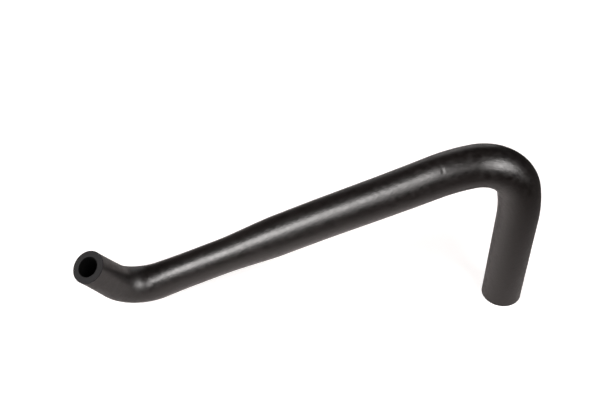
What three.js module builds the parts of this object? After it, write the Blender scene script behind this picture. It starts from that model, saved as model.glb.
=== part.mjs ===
// Moulded coolant bypass hose in black EPDM rubber. Millimetres, +Z up.
//
// The hose is one piece, cured on a bent mandrel. A short small-bore leg turns through a tight
// elbow into a long run, the run widens to the large bore, and a second elbow drops it into
// the large-bore leg. It stands on the cut face of the large leg and the underside of the small
// elbow, with the large leg upright and the run in the XZ plane.
// The origin is on the bench, under the middle of the hose.

import * as THREE from "three";

// Section
const SMALL_BORE = 12;
const LARGE_BORE = 16;
const WALL = 4;
const RUN_EXTRA_WALL = 0.5; // the narrow run is thicker than the cut end of the small leg
const ELBOW_EXTRA_WALL = 1; // rubber gathered in the small elbow
const ELBOW_GATHER_REACH = 2; // past each end of the elbow, where half of it is left
const LARGE_ELBOW_EXTRA_WALL = 0.25; // the large elbow is a little fuller too
const LARGE_ELBOW_GATHER_REACH = 3;
const CUT_EDGE = 0.3; // edge break where the ends are cut

// Lengths along the centreline, measured to the corners that the elbows round off
const SMALL_LEG = 49.5;
const RUN = 259.5;
const LARGE_LEG = 123.5;
const TAPER_START = 44; // from the end of the small elbow
const TAPER_LENGTH = 39;

// Elbows
const SMALL_ELBOW_RADIUS = 20;
const LARGE_ELBOW_RADIUS = 23;
const EASE_RADIUS = 92; // the large elbow eases in and out of its bend
const EASE_TURN = THREE.MathUtils.degToRad(14); // at each end of it
const SMALL_LEG_RISE = THREE.MathUtils.degToRad(58); // above the bench
const SMALL_LEG_SWING = THREE.MathUtils.degToRad(46); // out of the run's plane, towards -Y

// Fineness of the mesh
const SIDES = 32;
const STRAIGHT_STEP = 20;
const SHAPED_STEP = 5; // where the section changes
const ELBOW_STEP = THREE.MathUtils.degToRad(6.5);

const SETTLING_PASSES = 6;

// A straight stretch of centreline, with the points of a section every `step` or less.
function straight(from, to, step) {
  const direction = to.clone().sub(from).normalize();
  const count = Math.max(1, Math.ceil(from.distanceTo(to) / step));
  return Array.from({ length: count + 1 }, (_, i) => ({
    point: from.clone().lerp(to, i / count),
    tangent: direction,
  }));
}

// The bend that rounds off `corner`, between unit directions `arriving` and `leaving`.
// `arcs` are the radius and the turn of each arc of the bend, in order.
function elbow(corner, arriving, leaving, arcs) {
  const turn = arriving.angleTo(leaving);
  const inward = leaving.clone().addScaledVector(arriving, -arriving.dot(leaving)).normalize();

  // Places in the bend's plane, from its start: `x` along `arriving` and `y` inward.
  const places = [{ x: 0, y: 0, heading: 0 }];
  for (const arc of arcs) {
    const from = places.at(-1);
    const count = Math.ceil(arc.turn / ELBOW_STEP);
    for (let i = 1; i <= count; i++) {
      const heading = from.heading + (arc.turn * i) / count;
      places.push({
        x: from.x + arc.radius * (Math.sin(heading) - Math.sin(from.heading)),
        y: from.y + arc.radius * (Math.cos(from.heading) - Math.cos(heading)),
        heading,
      });
    }
  }

  const end = places.at(-1);
  const cornerAhead = end.x - end.y / Math.tan(turn);
  const start = corner.clone().addScaledVector(arriving, -cornerAhead);
  return places.map(({ x, y, heading }) => ({
    point: start.clone().addScaledVector(arriving, x).addScaledVector(inward, y),
    tangent: arriving
      .clone()
      .multiplyScalar(Math.cos(heading))
      .addScaledVector(inward, Math.sin(heading)),
  }));
}

function bendLength(arcs) {
  return arcs.reduce((sum, { radius, turn }) => sum + radius * turn, 0);
}

// The whole centreline, from the small end to the large end, for one slope of the run.
// The large end's centre is at (0, 0, 0) and its leg is upright.
function centreline(runSlope) {
  const largeEnd = new THREE.Vector3(0, 0, 0);
  const largeCorner = new THREE.Vector3(0, 0, LARGE_LEG);
  const alongRun = new THREE.Vector3(Math.cos(runSlope), 0, Math.sin(runSlope));
  const smallCorner = largeCorner.clone().addScaledVector(alongRun, -RUN);
  const downSmallLeg = new THREE.Vector3(
    Math.cos(SMALL_LEG_RISE) * Math.cos(SMALL_LEG_SWING),
    Math.cos(SMALL_LEG_RISE) * Math.sin(SMALL_LEG_SWING),
    -Math.sin(SMALL_LEG_RISE),
  );
  const downLargeLeg = new THREE.Vector3(0, 0, -1);
  const smallEnd = smallCorner.clone().addScaledVector(downSmallLeg, -SMALL_LEG);

  const smallArcs = [{ radius: SMALL_ELBOW_RADIUS, turn: downSmallLeg.angleTo(alongRun) }];
  const ease = { radius: EASE_RADIUS, turn: EASE_TURN };
  const largeTurn = alongRun.angleTo(downLargeLeg) - 2 * EASE_TURN;
  const largeArcs = [ease, { radius: LARGE_ELBOW_RADIUS, turn: largeTurn }, ease];
  const smallElbow = elbow(smallCorner, downSmallLeg, alongRun, smallArcs);
  const largeElbow = elbow(largeCorner, alongRun, downLargeLeg, largeArcs);
  const runStart = smallElbow.at(-1).point;
  const widened = runStart.clone().addScaledVector(alongRun, TAPER_START + TAPER_LENGTH);
  const largeElbowStart = largeElbow[0].point;

  const stretches = [
    straight(smallEnd, smallElbow[0].point, SHAPED_STEP),
    smallElbow,
    straight(runStart, widened, SHAPED_STEP),
    straight(widened, largeElbowStart, STRAIGHT_STEP),
    largeElbow,
    straight(largeElbow.at(-1).point, largeEnd, STRAIGHT_STEP),
  ];
  const stations = [];
  for (const stretch of stretches) {
    // Each stretch starts where the last one ended.
    stations.push(...(stations.length ? stretch.slice(1) : stretch));
  }
  let along = 0;
  stations.forEach((station, i) => {
    if (i > 0) along += station.point.distanceTo(stations[i - 1].point);
    station.along = along;
  });
  const smallStart = smallEnd.distanceTo(smallElbow[0].point);
  const smallFinish = smallStart + bendLength(smallArcs);
  const largeStart = smallFinish + runStart.distanceTo(largeElbowStart);
  return {
    stations,
    smallBend: { start: smallStart, end: smallFinish },
    largeBend: { start: largeStart, end: largeStart + bendLength(largeArcs) },
  };
}

// Rubber gathered round a bend, at one distance along the centreline.
function gathered(along, bend, extraWall, reachPast) {
  const middle = (bend.start + bend.end) / 2;
  const reach = (bend.end - bend.start) / 2 + reachPast;
  return extraWall * 2 ** -(((along - middle) / reach) ** 2);
}

// Bore and outside radius at one distance along the centreline.
function sectionAt(along, { smallBend, largeBend }) {
  const inRun = THREE.MathUtils.smoothstep(along, smallBend.start, smallBend.end);
  const taperStart = smallBend.end + TAPER_START;
  const widened = THREE.MathUtils.smoothstep(along, taperStart, taperStart + TAPER_LENGTH);

  const narrowOutside =
    SMALL_BORE / 2 +
    WALL +
    RUN_EXTRA_WALL * inRun +
    gathered(along, smallBend, ELBOW_EXTRA_WALL, ELBOW_GATHER_REACH);
  const wideOutside =
    LARGE_BORE / 2 +
    WALL +
    gathered(along, largeBend, LARGE_ELBOW_EXTRA_WALL, LARGE_ELBOW_GATHER_REACH);
  return {
    bore: THREE.MathUtils.lerp(SMALL_BORE, LARGE_BORE, widened) / 2,
    outside: THREE.MathUtils.lerp(narrowOutside, wideOutside, widened),
  };
}

// Adds each station's section, and the stations that break the edges of the two cut ends.
function withSections(line) {
  const sized = line.stations.map((station) => ({
    ...station,
    ...sectionAt(station.along, line),
  }));
  const insetFrom = (end, direction) => ({
    ...end,
    point: end.point.clone().addScaledVector(end.tangent, direction * CUT_EDGE),
  });
  const first = sized[0];
  const last = sized.at(-1);
  const opened = (end) => ({
    ...end,
    bore: end.bore + CUT_EDGE,
    outside: end.outside - CUT_EDGE,
  });
  return [
    opened(first),
    insetFrom(first, 1),
    ...sized.slice(1, -1),
    insetFrom(last, -1),
    opened(last),
  ];
}

// Height of the lowest point of the small elbow's outside.
function elbowUnderside(line) {
  const heights = line.stations
    .filter(({ along }) => along <= line.smallBend.end)
    .map(({ point, tangent, along }) => {
      const { outside } = sectionAt(along, line);
      return point.z - outside * Math.sqrt(1 - tangent.z ** 2);
    });
  return Math.min(...heights);
}

// The slope of the run that lets the small elbow touch the bench beside the upright large leg.
function settledSlope() {
  let slope = Math.asin(LARGE_LEG / RUN);
  for (let pass = 0; pass < SETTLING_PASSES; pass++) {
    slope += elbowUnderside(centreline(slope)) / (RUN * Math.cos(slope));
  }
  return slope;
}

// Skins the stations: the outside from the small end to the large one and the bore back again,
// joined by the two cut faces. The rings are carried along the centreline without twisting.
function hoseGeometry(sections) {
  const across = new THREE.Vector3(0, 1, 0).cross(sections[0].tangent).normalize();
  const frames = sections.map(({ point, tangent, bore, outside }, i) => {
    if (i > 0) {
      const carry = new THREE.Quaternion().setFromUnitVectors(sections[i - 1].tangent, tangent);
      across.applyQuaternion(carry);
    }
    return { point, bore, outside, u: across.clone(), v: tangent.clone().cross(across) };
  });
  const loop = [
    ...frames.map((frame) => ({ ...frame, radius: frame.outside })),
    ...frames.map((frame) => ({ ...frame, radius: frame.bore })).reverse(),
  ];

  const positions = [];
  for (const { point, u, v, radius } of loop) {
    for (let side = 0; side < SIDES; side++) {
      const angle = (2 * Math.PI * side) / SIDES;
      const vertex = point
        .clone()
        .addScaledVector(u, radius * Math.cos(angle))
        .addScaledVector(v, radius * Math.sin(angle));
      positions.push(...vertex.toArray());
    }
  }

  const indices = [];
  loop.forEach((_, row) => {
    const nextRow = (row + 1) % loop.length;
    for (let side = 0; side < SIDES; side++) {
      const nextSide = (side + 1) % SIDES;
      const a = row * SIDES + side;
      const b = row * SIDES + nextSide;
      const c = nextRow * SIDES + nextSide;
      const d = nextRow * SIDES + side;
      indices.push(a, b, c, a, c, d);
    }
  });

  const geometry = new THREE.BufferGeometry();
  geometry.setAttribute("position", new THREE.Float32BufferAttribute(positions, 3));
  geometry.setIndex(indices);
  geometry.computeVertexNormals();
  return geometry;
}

const rubber = new THREE.MeshStandardMaterial({
  name: "black_rubber",
  color: 0x1d1c1c,
  roughness: 0.42,
  metalness: 0,
});

const hose = new THREE.Mesh(hoseGeometry(withSections(centreline(settledSlope()))), rubber);
hose.name = "bypass_hose";

// Puts the middle of the hose over the origin, with the bench at z = 0.
const extent = new THREE.Box3().setFromObject(hose);
const middle = extent.getCenter(new THREE.Vector3());
hose.position.set(-middle.x, -middle.y, -extent.min.z);

const part = new THREE.Group();
part.add(hose);

export default part;
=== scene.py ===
# Looks of a moulded coolant bypass hose in black EPDM rubber: one finely skinned hose with its
# rubber, on a pale floor, with soft lamps round it and a camera at the photo's viewing angle.
# Metres, in the frame of the CAD model.

import math
from collections import namedtuple

import bpy
from mathutils import Euler, Matrix, Vector, noise


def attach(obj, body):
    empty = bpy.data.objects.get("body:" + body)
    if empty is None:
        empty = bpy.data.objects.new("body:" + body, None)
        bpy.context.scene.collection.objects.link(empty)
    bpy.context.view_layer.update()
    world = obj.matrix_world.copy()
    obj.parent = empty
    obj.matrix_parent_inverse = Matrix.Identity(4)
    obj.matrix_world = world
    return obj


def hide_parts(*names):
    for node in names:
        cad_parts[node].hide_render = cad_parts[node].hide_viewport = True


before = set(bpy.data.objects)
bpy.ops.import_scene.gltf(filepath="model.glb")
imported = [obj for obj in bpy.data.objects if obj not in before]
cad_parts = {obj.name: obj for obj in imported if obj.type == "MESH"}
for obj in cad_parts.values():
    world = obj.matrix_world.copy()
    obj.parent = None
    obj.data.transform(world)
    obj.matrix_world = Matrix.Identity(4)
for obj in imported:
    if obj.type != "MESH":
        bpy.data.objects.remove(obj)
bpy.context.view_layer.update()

MM = 0.001

# Section of the hose
SMALL_BORE = 12 * MM
LARGE_BORE = 16 * MM
WALL = 4 * MM
RUN_EXTRA_WALL = 0.5 * MM  # the narrow run is thicker than the cut end of the small leg
ELBOW_EXTRA_WALL = 1 * MM  # rubber gathered in the small elbow
ELBOW_GATHER_REACH = 2 * MM  # past each end of the elbow, where half of it is left
LARGE_ELBOW_EXTRA_WALL = 0.25 * MM  # the large elbow is a little fuller too
LARGE_ELBOW_GATHER_REACH = 3 * MM
CUT_EDGE = 0.3 * MM  # radius of the edges where the ends are cut

# Lengths along the centreline, measured to the corners that the elbows round off
SMALL_LEG = 49.5 * MM
RUN = 259.5 * MM
LARGE_LEG = 123.5 * MM
TAPER_START = 44 * MM  # from the end of the small elbow
TAPER_LENGTH = 39 * MM

# Elbows
SMALL_ELBOW_RADIUS = 20 * MM
LARGE_ELBOW_RADIUS = 23 * MM
EASE_RADIUS = 92 * MM  # the large elbow eases in and out of its bend
EASE_TURN = math.radians(14)  # at each end of it
SMALL_LEG_RISE = math.radians(58)  # above the bench
SMALL_LEG_SWING = math.radians(46)  # out of the run's plane, towards -Y
SETTLING_PASSES = 6

# Fineness of the mesh
SIDES = 96
STATION_STEP = 0.8 * MM
BORE_STATIONS = 2  # the bore takes every second station
EDGE_STEPS = 4
CUT_RINGS = 8

# The run isn't quite straight: between these distances from the small end it rises a little past
# the reducer and dips before the large elbow, each by about two thirds of the wave.
RUN_WAVE = 0.5 * MM
RUN_WAVE_START = 98 * MM
RUN_WAVE_END = 288 * MM

# Unevenness of the moulded skin and of the cut faces
SKIN_WAVE = 0.05 * MM
SKIN_WAVE_LENGTH = 14 * MM
SKIN_SET_IN = 0.6  # share of the wave by which the skin lies lower, inside the CAD model's box
CUT_WAVE = 0.05 * MM
CUT_WAVE_LENGTH = 3 * MM

# The small pinch where the run meets the large elbow: a crease across the hose with a low lip
PINCH_FROM_LARGE_END = 139.3 * MM
PINCH_AROUND = math.radians(196)  # round the hose, to the pinch's middle
PINCH_LENGTH = 2.6 * MM
PINCH_WIDTH = 0.9 * MM
PINCH_DEPTH = 0.18 * MM
PINCH_LIP = 0.5  # height of the lip, as a share of the depth
PINCH_LIP_AWAY = 1.5  # distance of the lip from the crease, in widths of the pinch

# View of the photo, with the lens and the sensor in millimetres
CAMERA_PLACE = (-9.52 * MM, -389.8 * MM, 452.86 * MM)
CAMERA_DOWN = math.radians(43.15)
CAMERA_TO_THE_RIGHT = math.radians(0.908)
CAMERA_ROLL = math.radians(0.228)
CAMERA_LENS = 57.6
SENSOR_WIDTH = 36

# Two softboxes, a pale strip behind the hose and a small card that fills in at the small elbow.
# Each is turned towards the point it lights. Azimuth 0 is beyond the hose and 90 to its right,
# a lean brings the top to the right as seen from behind the lamp, and angles are in degrees.
WHOLE_HOSE = Vector((0, 0, 60 * MM))
SMALL_ELBOW = Vector((-98 * MM, 0, 20 * MM))
LARGE_ELBOW = Vector((115 * MM, 0, 100 * MM))
LAMPS = {
    "left_softbox": dict(
        lit_point=WHOLE_HOSE, azimuth=-119, elevation=26, lean=29, distance=1.25,
        width=0.55, height=1.1, radiance=10.9, spread=180,
    ),
    "right_softbox": dict(
        lit_point=LARGE_ELBOW, azimuth=139, elevation=38.5, lean=0, distance=1.31,
        width=0.97, height=0.8, radiance=7.8, spread=180,
    ),
    "back_strip": dict(
        lit_point=WHOLE_HOSE, azimuth=3.2, elevation=13, lean=0, distance=1.2,
        width=0.88, height=0.58, radiance=0.77, spread=180,
    ),
    "front_card": dict(
        lit_point=SMALL_ELBOW, azimuth=-166, elevation=36, lean=0, distance=0.5,
        width=0.24, height=0.2, radiance=7, spread=56,
    ),
}
LAMP_COLOUR = (1.03, 1, 0.99)
WORLD_LIGHT = 0.03
WHITE = (1, 1, 1, 1)

# The floor. Its lift makes it white to the camera. Where the hose mirrors it, its colour carries a
# painted
# pool of light and painted shade: brightest beside the hose and darker towards both sides and the
# camera,
# by a fade for each: from a value at one place on an axis to another value at another place.
FLOOR_REACH = 4
FLOOR_DROP = 0.2 * MM  # below the bench, so that the cut face doesn't lie in the floor
FLOOR_COLOUR = (0.62, 0.585, 0.575)
FLOOR_LIFT = 0.65
FLOOR_PAINTED_LIGHT_FADES = (
    dict(axis="X", start=300 * MM, start_value=0.12, end=10 * MM, end_value=1),
    dict(axis="X", start=-200 * MM, start_value=0.4, end=20 * MM, end_value=1),
    dict(axis="Y", start=-180 * MM, start_value=0.14, end=10 * MM, end_value=1.22),
)

# The rubber of each finish, in the order of the hose's material slots
RUBBERS = {
    "skin": dict(
        colour=(0.0035, 0.002, 0.0016), roughness=0.355, roughness_spread=0.08,
        ior=1.7, grain_depth=0.09 * MM, grain_size=1.5 * MM,
    ),
    "cut": dict(
        colour=(0.0085, 0.0083, 0.0088), roughness=0.8, roughness_spread=0.05,
        ior=1.4, grain_depth=0.05 * MM, grain_size=0.3 * MM,
    ),
    # The bore's rubber has a darker colour and a far weaker gloss than the skin's: painted shade
    # inside the bore.
    "bore": dict(
        colour=(0.0006, 0.0006, 0.0006), roughness=0.8, roughness_spread=0.05,
        ior=1.2, grain_depth=0.02 * MM, grain_size=0.5 * MM,
    ),
}
MOTTLE_SIZE = 3 * MM
MOTTLE_DETAIL = 4
MOTTLE_LOW = 0.3  # the mottle goes from end to end between these two values of the noise
MOTTLE_HIGH = 0.7
MOTTLE_TINT = 0.2  # share of the colour that comes and goes with the mottle
GRAIN_DETAIL = 3

# What is added to the roughness along the hose: the small leg and its elbow are duller.
DULL_SMALL_END = dict(axis="Z", start=42 * MM, start_value=0.08, end=56 * MM, end_value=0)

# A ring is a place along the hose: u and v are its directions across the hose, and outside and
# bore are its radii there. A row is one round of the surface's points.
Ring = namedtuple("Ring", "centre u v tangent distance outside bore")
Row = namedtuple("Row", "centre u v radius distance finish")


def share_of_way(value, low, high):
    """How far a value has come from a low to a high one, from 0 to 1."""
    return min(1, max(0, (value - low) / (high - low)))


def smoothstep(value, low, high):
    """The same share with a soft start and finish."""
    t = share_of_way(value, low, high)
    return t * t * (3 - 2 * t)


def bell(x):
    """1 at 0, falling to 0.14 at 1 and -1."""
    return math.exp(-2 * x ** 2)


def straight(start, end):
    """Points of a straight stretch of centreline, each with the direction of travel."""
    count = max(1, math.ceil((end - start).length / STATION_STEP))
    tangent = (end - start).normalized()
    return [(start.lerp(end, i / count), tangent) for i in range(count + 1)]


def elbow(corner, arriving, leaving, arcs):
    """Points of the bend that rounds off a corner, each with the direction of travel. The arcs
    are the radius and turn of each arc of the bend, in order."""
    turn = arriving.angle(leaving)
    inward = (leaving - arriving * arriving.dot(leaving)).normalized()

    # Places in the bend's plane, from its start: x along the arriving direction and y inward.
    places = [(0, 0, 0)]
    for radius, arc_turn in arcs:
        x, y, heading = places[-1]
        count = math.ceil(arc_turn * radius / STATION_STEP)
        for i in range(1, count + 1):
            ahead = heading + arc_turn * i / count
            places.append((
                x + radius * (math.sin(ahead) - math.sin(heading)),
                y + radius * (math.cos(heading) - math.cos(ahead)),
                ahead,
            ))

    end_x, end_y, _ = places[-1]
    start = corner - arriving * (end_x - end_y / math.tan(turn))
    return [
        (start + arriving * x + inward * y, arriving * math.cos(a) + inward * math.sin(a))
        for x, y, a in places
    ]


def bend_length(arcs):
    """Length of a bend along the centreline."""
    return sum(radius * turn for radius, turn in arcs)


def centreline(run_slope):
    """Stations (point, tangent, distance along) from the small end to the large end at 0, 0, 0,
    and the distances at which each of the two bends starts and ends."""
    along_run = Vector((math.cos(run_slope), 0, math.sin(run_slope)))
    level = math.cos(SMALL_LEG_RISE)
    down_small_leg = Vector((
        level * math.cos(SMALL_LEG_SWING),
        level * math.sin(SMALL_LEG_SWING),
        -math.sin(SMALL_LEG_RISE),
    ))
    down = Vector((0, 0, -1))
    large_corner = Vector((0, 0, LARGE_LEG))
    small_corner = large_corner - along_run * RUN
    small_end = small_corner - down_small_leg * SMALL_LEG

    small_arcs = [(SMALL_ELBOW_RADIUS, down_small_leg.angle(along_run))]
    ease = (EASE_RADIUS, EASE_TURN)
    large_arcs = [ease, (LARGE_ELBOW_RADIUS, along_run.angle(down) - 2 * EASE_TURN), ease]
    small_elbow = elbow(small_corner, down_small_leg, along_run, small_arcs)
    large_elbow = elbow(large_corner, along_run, down, large_arcs)
    stretches = [
        straight(small_end, small_elbow[0][0]),
        small_elbow,
        straight(small_elbow[-1][0], large_elbow[0][0]),
        large_elbow,
        straight(large_elbow[-1][0], Vector((0, 0, 0))),
    ]
    stations = []
    for stretch in stretches:
        # Each stretch starts where the last one ended.
        stations += stretch[1:] if stations else stretch
    distance = 0
    measured = []
    for i, (point, tangent) in enumerate(stations):
        if i:
            distance += (point - stations[i - 1][0]).length
        measured.append((point, tangent, distance))

    small_start = (small_elbow[0][0] - small_end).length
    small_finish = small_start + bend_length(small_arcs)
    large_start = small_finish + (large_elbow[0][0] - small_elbow[-1][0]).length
    large_finish = large_start + bend_length(large_arcs)
    return measured, ((small_start, small_finish), (large_start, large_finish))


def gathered(distance, bend, extra_wall, reach_past):
    """Rubber gathered round a bend, at one distance from the small end."""
    start, end = bend
    reach = (end - start) / 2 + reach_past
    return extra_wall * 2 ** -(((distance - (start + end) / 2) / reach) ** 2)


def section_at(distance, bends):
    """Radius of the outside and of the bore at one distance from the small end."""
    small_bend, large_bend = bends
    in_run = smoothstep(distance, *small_bend)
    taper_start = small_bend[1] + TAPER_START
    widened = smoothstep(distance, taper_start, taper_start + TAPER_LENGTH)
    narrow = SMALL_BORE / 2 + WALL + RUN_EXTRA_WALL * in_run
    narrow += gathered(distance, small_bend, ELBOW_EXTRA_WALL, ELBOW_GATHER_REACH)
    wide = LARGE_BORE / 2 + WALL
    wide += gathered(distance, large_bend, LARGE_ELBOW_EXTRA_WALL, LARGE_ELBOW_GATHER_REACH)
    bore = SMALL_BORE / 2 + (LARGE_BORE - SMALL_BORE) / 2 * widened
    return narrow + (wide - narrow) * widened, bore


def settled_slope():
    """The slope of the run at which the small elbow touches the bench beside the large leg."""
    slope = math.asin(LARGE_LEG / RUN)
    for _ in range(SETTLING_PASSES):
        stations, bends = centreline(slope)
        underside = min(
            point.z - section_at(distance, bends)[0] * math.sqrt(1 - tangent.z ** 2)
            for point, tangent, distance in stations
            if distance <= bends[0][1]
        )
        slope += underside / (RUN * math.cos(slope))
    return slope


def run_wave(distance):
    """How far the run stands above its straight line, at one distance from the small end."""
    t = share_of_way(distance, RUN_WAVE_START, RUN_WAVE_END)
    return RUN_WAVE * math.sin(2 * math.pi * t) * math.sin(math.pi * t) ** 2


def hose_rings():
    """Rings round the centreline, carried along it from the small end without twisting."""
    stations, bends = centreline(settled_slope())
    across = Vector((0, 1, 0)).cross(stations[0][1]).normalized()
    rings = []
    for i, (point, tangent, distance) in enumerate(stations):
        if i:
            across.rotate(stations[i - 1][1].rotation_difference(tangent))
        centre = point + Vector((-tangent.z, 0, tangent.x)) * run_wave(distance)
        u, v = across.copy(), tangent.cross(across)
        rings.append(Ring(centre, u, v, tangent, distance, *section_at(distance, bends)))
    return rings


def row(ring, inset, radius, finish):
    """A row of the surface at a ring, moved along the hose by an inset."""
    centre = ring.centre + ring.tangent * inset
    return Row(centre, ring.u, ring.v, radius, ring.distance + inset, finish)


def cut_edge(ring, wall, into_hose, outward, finish):
    """Rows of a rounded cut edge, from the wall to the cut face. Into the hose is 1 at the small
    end and -1 at the large end, and outward is 1 on the outside and -1 in the bore."""
    rows = []
    for i in range(EDGE_STEPS + 1):
        angle = math.pi / 2 * i / EDGE_STEPS
        inset = into_hose * CUT_EDGE * (1 - math.sin(angle))
        radius = wall - outward * CUT_EDGE * (1 - math.cos(angle))
        rows.append(row(ring, inset, radius, finish))
    return rows


def cut_face(ring, start, end):
    """Rows across a cut face, between the radii at which its two edges meet it."""
    return [
        row(ring, 0, start + (end - start) * i / CUT_RINGS, "cut")
        for i in range(1, CUT_RINGS)
    ]


def hose_rows(rings):
    """Rows of the surface in order: along the outside, over the large cut face, back through the
    bore and over the small cut face."""
    first, last = rings[0], rings[-1]
    between = [ring for ring in rings if CUT_EDGE < ring.distance < last.distance - CUT_EDGE]
    return [
        *reversed(cut_edge(first, first.outside, 1, 1, "cut")),
        *(row(ring, 0, ring.outside, "skin") for ring in between),
        *cut_edge(last, last.outside, -1, 1, "cut"),
        *cut_face(last, last.outside - CUT_EDGE, last.bore + CUT_EDGE),
        *reversed(cut_edge(last, last.bore, -1, -1, "bore")),
        *(row(ring, 0, ring.bore, "bore") for ring in reversed(between[::BORE_STATIONS])),
        *cut_edge(first, first.bore, 1, -1, "bore"),
        *cut_face(first, first.bore + CUT_EDGE, first.outside - CUT_EDGE),
    ]


def pinch(from_large_end, around):
    """Depth of the small crease across the hose, with its lip towards the large end."""
    away = (PINCH_FROM_LARGE_END - from_large_end) / PINCH_WIDTH
    sideways = (around - PINCH_AROUND) * (LARGE_BORE / 2 + WALL) / PINCH_LENGTH
    crease = bell(away) - PINCH_LIP * bell(away - PINCH_LIP_AWAY)
    return PINCH_DEPTH * crease * bell(sideways)


def surface_points(rows, length):
    """The hose's points, and where each would be if the hose were straight along Z."""
    points, straightened = [], []
    for centre, u, v, radius, distance, finish in rows:
        inward = u.cross(v) * (1 if distance < length / 2 else -1)
        for side in range(SIDES):
            around = 2 * math.pi * side / SIDES
            spoke = u * math.cos(around) + v * math.sin(around)
            unrolled = Vector((radius * math.cos(around), radius * math.sin(around), distance))
            point = centre + spoke * radius
            if finish == "skin":
                swell = SKIN_WAVE * (noise.noise(unrolled / SKIN_WAVE_LENGTH) - SKIN_SET_IN)
                point += spoke * (swell - pinch(length - distance, around))
            elif finish == "cut":
                dip = CUT_WAVE * (1 - noise.noise(unrolled / CUT_WAVE_LENGTH)) / 2
                point += inward * dip
            points.append(point)
            straightened.append(unrolled)
    return points, straightened


def surface_faces(rows):
    """Four-cornered faces between each row and the next, and the finish of each face."""
    faces, finishes = [], []
    for i, this in enumerate(rows):
        following = (i + 1) % len(rows)
        finish = "cut" if "cut" in (this.finish, rows[following].finish) else this.finish
        for side in range(SIDES):
            beside = (side + 1) % SIDES
            a, b = i * SIDES + side, i * SIDES + beside
            c, d = following * SIDES + beside, following * SIDES + side
            faces.append((a, b, c, d))
            finishes.append(finish)
    return faces, finishes


def add_object(name, data):
    """A new object in the scene."""
    made = bpy.data.objects.new(name, data)
    bpy.context.collection.objects.link(made)
    return made


def build_hose():
    """The hose as one closed surface, with a material for each finish."""
    rings = hose_rings()
    rows = hose_rows(rings)
    points, straightened = surface_points(rows, rings[-1].distance)
    faces, finishes = surface_faces(rows)
    mesh = bpy.data.meshes.new("bypass_hose_skin")
    mesh.from_pydata(points, [], faces)
    mesh.polygons.foreach_set("use_smooth", [True] * len(faces))
    slots = list(RUBBERS)
    mesh.polygons.foreach_set("material_index", [slots.index(finish) for finish in finishes])
    attribute = mesh.attributes.new("straightened", "FLOAT_VECTOR", "POINT")
    attribute.data.foreach_set("vector", [c for point in straightened for c in point])
    for finish, looks in RUBBERS.items():
        mesh.materials.append(rubber("rubber_" + finish, **looks))

    # As in the CAD model, the lowest point is on the bench and the box's middle over the origin.
    low = Vector(map(min, zip(*points)))
    high = Vector(map(max, zip(*points)))
    middle = (low + high) / 2
    mesh.transform(Matrix.Translation((-middle.x, -middle.y, -low.z)))
    mesh.update()
    return add_object("bypass_hose_skin", mesh)


def fill(tree, target, inputs):
    """Gives each input of a node its value, or links it to another node's output."""
    for socket, value in inputs.items():
        if isinstance(value, bpy.types.NodeSocket):
            tree.links.new(value, target.inputs[socket])
        else:
            target.inputs[socket].default_value = value


def node(tree, kind, inputs, **settings):
    """A new node with its inputs filled."""
    made = tree.nodes.new(kind)
    for name, value in settings.items():
        setattr(made, name, value)
    fill(tree, made, inputs)
    return made


def noise_texture(tree, place, size, detail):
    """A noise with features of about one size."""
    inputs = {"Vector": place, "Scale": 1 / size, "Detail": detail}
    return node(tree, "ShaderNodeTexNoise", inputs).outputs["Fac"]


def smooth_fade(tree, place, axis, start, start_value, end, end_value):
    """A value that goes smoothly from one to another between two places on an axis."""
    axes = node(tree, "ShaderNodeSeparateXYZ", {0: place})
    fade = node(tree, "ShaderNodeMapRange", {
        "Value": axes.outputs[axis],
        "From Min": start,
        "From Max": end,
        "To Min": start_value,
        "To Max": end_value,
    }, interpolation_type="SMOOTHSTEP")
    return fade.outputs["Result"]


def rubber(name, colour, roughness, roughness_spread, ior, grain_depth, grain_size):
    """Rubber with a mottle in its gloss and colour, and a fine grain in its surface."""
    material = bpy.data.materials.new(name)
    material.use_nodes = True
    tree = material.node_tree
    place = node(tree, "ShaderNodeAttribute", {}, attribute_name="straightened").outputs["Vector"]

    mottle = noise_texture(tree, place, MOTTLE_SIZE, MOTTLE_DETAIL)
    gloss = node(tree, "ShaderNodeMapRange", {
        "Value": mottle,
        "From Min": MOTTLE_LOW,
        "From Max": MOTTLE_HIGH,
        "To Min": roughness - roughness_spread,
        "To Max": roughness + roughness_spread,
    })
    duller = smooth_fade(tree, place, **DULL_SMALL_END)
    total = node(tree, "ShaderNodeMath", {0: gloss.outputs["Result"], 1: duller}, operation="ADD")

    tint = node(tree, "ShaderNodeValToRGB", {"Fac": mottle})
    darkest, lightest = tint.color_ramp.elements
    darkest.position = MOTTLE_LOW
    darkest.color = (*[c * (1 - MOTTLE_TINT) for c in colour], 1)
    lightest.position = MOTTLE_HIGH
    lightest.color = (*[c * (1 + MOTTLE_TINT) for c in colour], 1)

    grain = noise_texture(tree, place, grain_size, GRAIN_DETAIL)
    bump = node(tree, "ShaderNodeBump", {"Height": grain, "Distance": grain_depth})
    fill(tree, tree.nodes["Principled BSDF"], {
        "Base Color": tint.outputs["Color"],
        "Roughness": total.outputs[0],
        "IOR": ior,
        "Normal": bump.outputs["Normal"],
    })
    return material


def add_lamp(name, lit_point, azimuth, elevation, lean, distance, width, height, radiance, spread):
    """A soft lamp turned towards a point, with its angles in degrees."""
    light = bpy.data.lights.new(name, "AREA")
    light.shape = "RECTANGLE"
    light.size = width
    light.size_y = height
    light.spread = math.radians(spread)
    light.color = LAMP_COLOUR
    # Radiance is power over pi times the area. A narrow spread keeps the same power in a smaller
    # share of what a bare lamp lights, so the power is less by that share.
    half_spread = light.spread / 2
    lit_share = 1 - half_spread / math.tan(half_spread)
    light.energy = radiance * math.pi * width * height * lit_share

    azimuth = math.radians(azimuth)
    elevation = math.radians(elevation)
    level = math.cos(elevation)
    outward = Vector((level * math.sin(azimuth), level * math.cos(azimuth), math.sin(elevation)))
    aim = outward.to_track_quat("Z", "Y").to_matrix()
    lamp = add_object(name, light)
    lamp.location = lit_point + outward * distance
    lamp.rotation_euler = (aim @ Matrix.Rotation(-math.radians(lean), 3, "Z")).to_euler()


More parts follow.
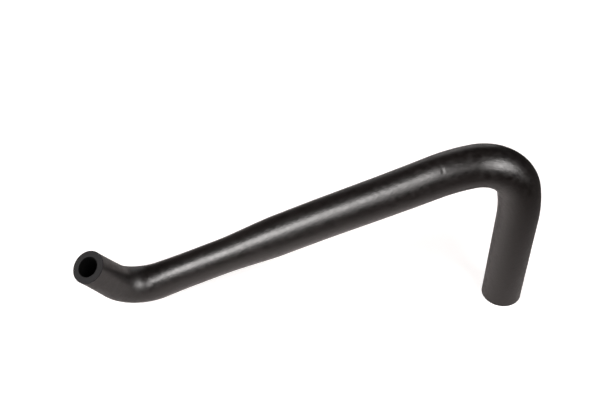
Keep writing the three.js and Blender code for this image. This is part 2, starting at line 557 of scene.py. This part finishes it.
def add_floor():
    """A pale floor. The camera sees it white, with the hose's shadow on it; the hose mirrors it with
    a painted pool of light.
    """
    mesh = bpy.data.meshes.new("floor")
    corners = [(-1, -1), (1, -1), (1, 1), (-1, 1)]
    mesh.from_pydata([(x * FLOOR_REACH, y * FLOOR_REACH, 0) for x, y in corners], [], [(0, 1, 2, 3)])
    floor = add_object("floor", mesh)
    floor.location.z = -FLOOR_DROP

    material = bpy.data.materials.new("floor")
    mesh.materials.append(material)
    material.use_nodes = True
    tree = material.node_tree
    place = node(tree, "ShaderNodeTexCoord", {}).outputs["Object"]
    path = node(tree, "ShaderNodeLightPath", {})

    # The painted pool of light and shade counts only for what the hose mirrors: a painted
    # reflection.
    painted_pool = 1
    for fade in FLOOR_PAINTED_LIGHT_FADES:
        factors = {0: painted_pool, 1: smooth_fade(tree, place, **fade)}
        painted_pool = node(tree, "ShaderNodeMath", factors, operation="MULTIPLY").outputs[0]
    mirrored_floor_paint = node(tree, "ShaderNodeMapRange", {
        "Value": path.outputs["Is Glossy Ray"],
        "To Min": 1,
        "To Max": painted_pool,
    })
    colour = node(tree, "ShaderNodeVectorMath", {
        0: FLOOR_COLOUR,
        "Scale": mirrored_floor_paint.outputs["Result"],
    }, operation="SCALE")
    factors = {0: path.outputs["Is Camera Ray"], 1: FLOOR_LIFT}
    lift = node(tree, "ShaderNodeMath", factors, operation="MULTIPLY")
    fill(tree, tree.nodes["Principled BSDF"], {
        "Base Color": colour.outputs[0],
        "Roughness": 1,
        "Specular IOR Level": 0,
        "Emission Color": WHITE,
        "Emission Strength": lift.outputs[0],
    })


def set_world():
    """Dim light from all round, which the camera sees as white."""
    world = bpy.data.worlds.new("studio")
    bpy.context.scene.world = world
    world.use_nodes = True
    tree = world.node_tree
    path = node(tree, "ShaderNodeLightPath", {})
    strength = node(tree, "ShaderNodeMapRange", {
        "Value": path.outputs["Is Camera Ray"],
        "To Min": WORLD_LIGHT,
        "To Max": 1,
    })
    fill(tree, tree.nodes["Background"], {"Color": WHITE, "Strength": strength.outputs["Result"]})


def add_camera():
    """The camera. It looks towards +Y and down, with a slight turn to the right and a roll."""
    data = bpy.data.cameras.new("camera")
    data.lens = CAMERA_LENS
    data.sensor_fit = "HORIZONTAL"
    data.sensor_width = SENSOR_WIDTH
    camera = add_object("camera", data)
    camera.location = CAMERA_PLACE
    aim = Euler((math.pi / 2 - CAMERA_DOWN, 0, -CAMERA_TO_THE_RIGHT)).to_matrix()
    camera.rotation_euler = (aim @ Matrix.Rotation(CAMERA_ROLL, 3, "Z")).to_euler()
    bpy.context.scene.camera = camera


hose = build_hose()
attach(hose, "root")
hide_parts("bypass_hose")

add_camera()
add_floor()
set_world()
for name, settings in LAMPS.items():
    add_lamp(name, **settings)

bpy.context.scene.view_settings.view_transform = "Standard"
